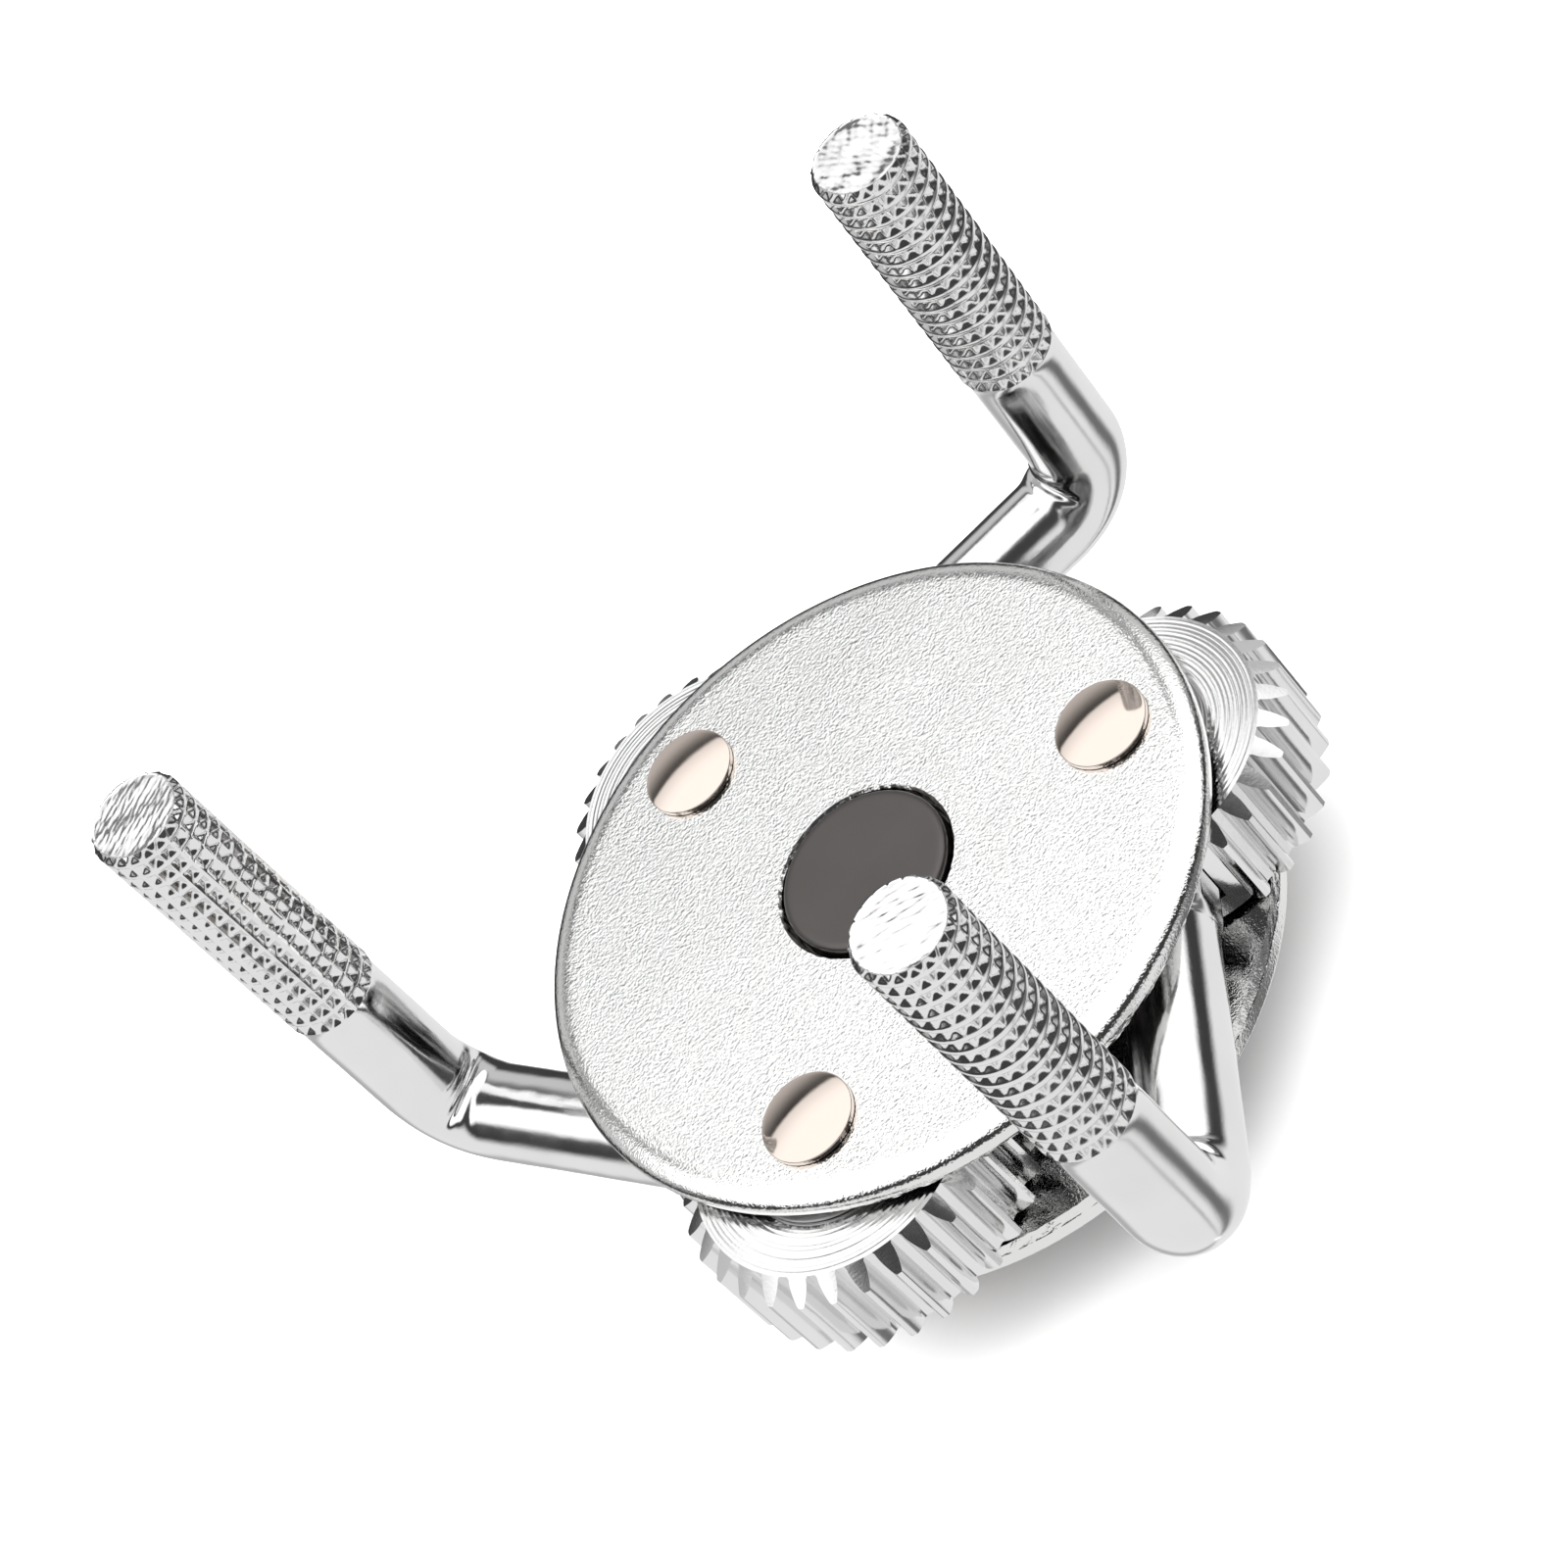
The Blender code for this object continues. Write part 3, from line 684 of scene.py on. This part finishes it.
def jaw_arm_points(pivot, aim, tip, leg, seed, lows, lean):
    """Loops of a jaw arm, carried along its centre line from the tongue to the sawn end.

    The centre line runs level from the pivot to the corner under the leg, round a bend of
    fixed radius, and up the leg to the tip. The tongue lies square in its slot, along the
    aim, and the rest turns out of it by what the pressing and bending left. A loop's radius
    is a rounded rectangle on the tongue, and on the rod a circle with shallow ripples, a
    fold inside the bend, and the knurl. The sawn end is out of square by the lean, the
    (x, y) slope of its normal.
    """
    root = np.array([*pivot, middle])
    corner = tip - leg * (tip[2] - middle) / leg[2]
    out = (corner - root) / np.linalg.norm(corner - root)
    bend = math.acos(out @ leg)
    back = bend_radius * math.tan(bend / 2)
    inward = leg - (leg @ out) * out
    inward /= np.linalg.norm(inward)
    start = np.linalg.norm(corner - root) - back
    length = np.linalg.norm(tip - corner) - back
    curve = bend_radius * bend
    end = start + curve + length
    first_knurl = end - knurl_length
    along = np.concatenate(
        [
            np.linspace(tongue_start, tongue_end, 12, endpoint=False),
            np.linspace(tongue_end, 18.3 * mm, 22, endpoint=False),
            np.linspace(18.3 * mm, start, 50, endpoint=False),
            np.linspace(start, start + curve, 60, endpoint=False),
            np.linspace(start + curve, first_knurl, 12, endpoint=False),
            np.linspace(first_knurl, end, 220),
        ]
    )[:, None]
    turn = around(160)
    angle = np.clip((along - start) / bend_radius, 0, bend)
    forward = np.cos(angle) * out + np.sin(angle) * inward
    towards = np.cos(angle) * inward - np.sin(angle) * out
    across = np.cross(out, inward)
    centre = root + np.minimum(along, start) * out
    centre = centre + bend_radius * (np.sin(angle) * out + (1 - np.cos(angle)) * inward)
    centre = centre + np.maximum(along - start - curve, 0) * leg

    cosine, sine = np.abs(np.cos(turn)), np.abs(np.sin(turn))
    tongue = (2 * cosine / tongue_height) ** 14 + (2 * sine / tongue_width) ** 14
    tongue = tongue ** (-1 / 14)
    rod = rod_radius + 0.009 * mm * ripple(along / mm, turn * 4.65, seed, 2.2)
    inside = swell(np.cos(turn), 0.35, 0.95)
    bent = np.sin(np.clip((along - start) / curve, 0, 1) * np.pi) ** 2
    fold = (along - start - curve / 2) / mm
    pinch = 0.5 * np.exp(-((fold / 0.7) ** 2)) - 0.12 * np.exp(-(((np.abs(fold) - 2.2) / 1.2) ** 2))
    dents = 0.07 * ripple(fold, turn * 2.5, seed + 1, 1.7) * np.exp(-((fold / 3.2) ** 2))
    rod = rod - inside * (pinch + dents) * mm + 0.12 * mm * bent * np.sin(turn) ** 2
    milled = swell(along, 16.5 * mm, 17.9 * mm) * 0.85 + 0.15 * swell(along, 17.85 * mm, 18.1 * mm)
    radius = tongue * (1 - milled) + rod * milled
    gripped = swell(along, first_knurl - 0.3 * mm, first_knurl + 0.2 * mm)
    share = (along - first_knurl) / knurl_length
    mid = np.sin(np.clip(share, 0, 1) * np.pi)
    pits = knurl(along - first_knurl, turn, seed + 7, lows[0] * mid * mm, lows[1] * mid * mm)
    radius = radius * (1 - gripped) + (knurl_radius - pits) * gripped
    bevel = np.clip(0.5 * mm - (end - along), 0, 0.5 * mm)
    radius = np.minimum(radius, knurl_radius - bevel)

    squared = 1 - swell(along, 16.3 * mm, 18.2 * mm)
    aim = np.array([math.cos(aim), math.sin(aim), 0])
    upright = np.array([0, 0, 1])
    centre = centre + squared * (root + along * aim - centre)
    towards = towards + squared * (upright - towards)
    across = across + squared * (np.cross(aim, upright) - across)
    spoke = np.cos(turn)[:, None] * towards[:, None] + np.sin(turn)[:, None] * across[:, None]
    offset = radius[..., None] * spoke
    askew = np.clip((along - end) / (3 * mm) + 1, 0, 1) * -(offset[..., :2] @ np.array(lean))
    sides = centre[:, None] + offset + askew[..., None] * leg
    shrink = np.linspace(1, 0, 48)[1:, None]
    flat = shrink * radius[-1]
    x, y = flat * np.cos(turn), flat * np.sin(turn)
    strokes = ripple(x / mm, y / mm * 0.4, seed + 3, 0.35)
    waves = ripple(x / mm, y / mm, seed + 4, 2.5)
    sawn = (0.012 * strokes + 0.03 * waves) * mm * np.clip((1 - shrink) * 8, 0, 1)
    sawn = np.where(shrink > 0, sawn, sawn[-1].mean())
    face = tip + shrink[..., None] * (sides[-1] - tip) + (sawn - 0.1 * mm)[..., None] * leg
    root_face = centre[:1, None] + 0 * spoke[:1]
    return np.concatenate([root_face, sides, face])


mounts = {mount["name"]: mount for mount in frame["record"]["mounts"]}

# For each jaw, how far in millimetres the rings and the ribs lie low in the middle of the
# knurl, and the lean of its sawn end
knurl_lows = [(0.0, 0.22), (0.0, 0.25), (0.17, 0.0)]
saw_leans = [(0.02, -0.05), (0.003, 0.02), (0.015, -0.05)]
for jaw, centre, lows, lean in zip(jaws, pivots, knurl_lows, saw_leans):
    mount = mounts[f"jaw_tip_{jaw}"]
    leg = np.array(mount["axis"]) / np.linalg.norm(mount["axis"])
    aim = 2 * math.pi * (jaw - 1) / 3 + rest_angle
    points = jaw_arm_points(centre, aim, np.array(mount["pos_m"]), leg, 30 * jaw, lows, lean)
    fit(surface(f"jaw_arm_{jaw}_finished", points, chrome, crease=50), f"jaw_{jaw}")


# ---------------------------------------------------------------------------------------
# Front plate: like the back plate, with a much softer rolled edge. The hub of the drive gear
# shows in its centre hole.

front_plate = plate("front_plate_finished", 33.95 * mm, front_face, gap_top, (2.6 * mm, 1.4 * mm), True)
fit(front_plate, "frame")


# ---------------------------------------------------------------------------------------
# Rivets: polished steel with a warm nickel plate. The front heads are low domes, and the
# ends behind are set to flatter heads.

rivet_nickel = metal(
    "rivet_nickel", (0.77, 0.68, 0.615), (0.75, 0.65, 0.585), (0.04, 0.1),
    (1.4 * mm, 0.4 * mm, 0.3), 0.002 * mm,
)
head, edge, dome = 4.56 * mm, 0.55 * mm, 0.48 * mm
seat, back_seat = front_face + 0.1 * mm, back_face - 0.1 * mm
rows = [(head * share, seat + edge + dome * (1 - share**2)) for share in np.linspace(0, 0.97, 16)]
rows += arc((head - 0.12 * mm, seat + edge - 0.1 * mm), 0.12 * mm, 0.12 * mm, 80, 0, 5)
rows += [(head, seat), (3 * mm, seat), (3 * mm, back_seat), (head, back_seat)]
rows += [(head, back_seat - edge), (head - edge, back_seat - 2 * edge), (0, back_seat - 2 * edge)]
for jaw, centre in zip(jaws, pivots):
    points = turned(rows, around(96), centre)
    fit(surface(f"pivot_rivet_{jaw}_finished", points, rivet_nickel), "frame")
